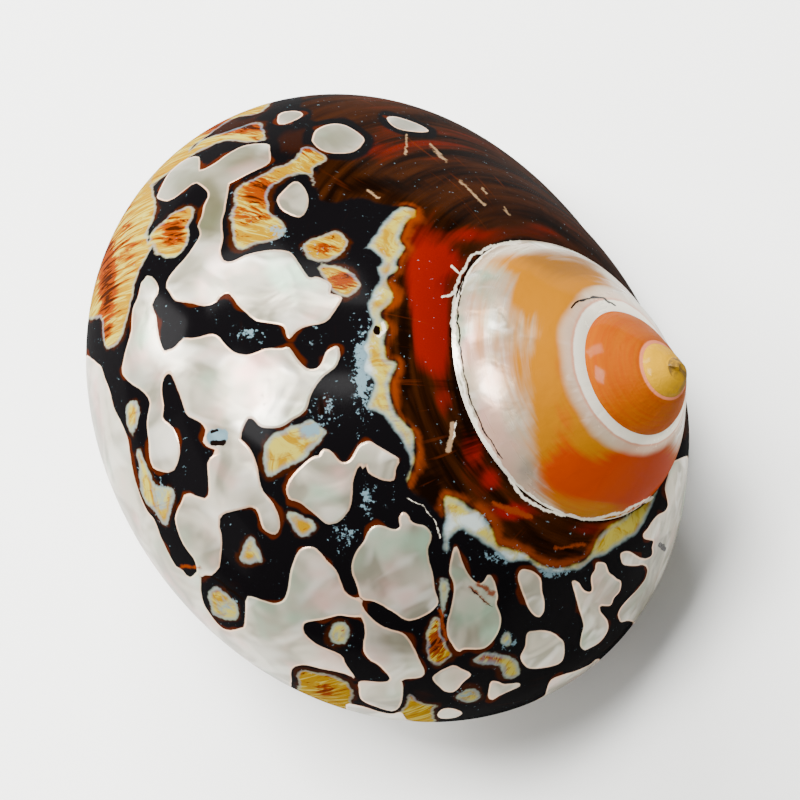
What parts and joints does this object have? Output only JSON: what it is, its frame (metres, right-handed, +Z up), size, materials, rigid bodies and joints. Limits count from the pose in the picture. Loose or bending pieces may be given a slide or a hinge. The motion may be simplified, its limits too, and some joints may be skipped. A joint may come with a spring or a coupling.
{
  "type": "turban shell",
  "caption": "Polished turban shell: a round, coiled and hollow sea snail shell with a short spire, lying on the flat rim of its mouth.",
  "frame": {"origin": "middle of the shell's footprint on the table, at the height of the rim of its mouth", "axes": "+Z is up; the tip of the spire points towards +X, above the table; the shell's longest side runs along Y"},
  "size_m": [0.0748, 0.0874, 0.0526],
  "materials": {
    "shell": "polished shell: pearl patches in a black and brown network, an orange spire with a pearly shoulder, and a white, pearly inside; high gloss"
  },
  "bodies": {
    "root": {"shell": "shell"}
  },
  "joints": []
}
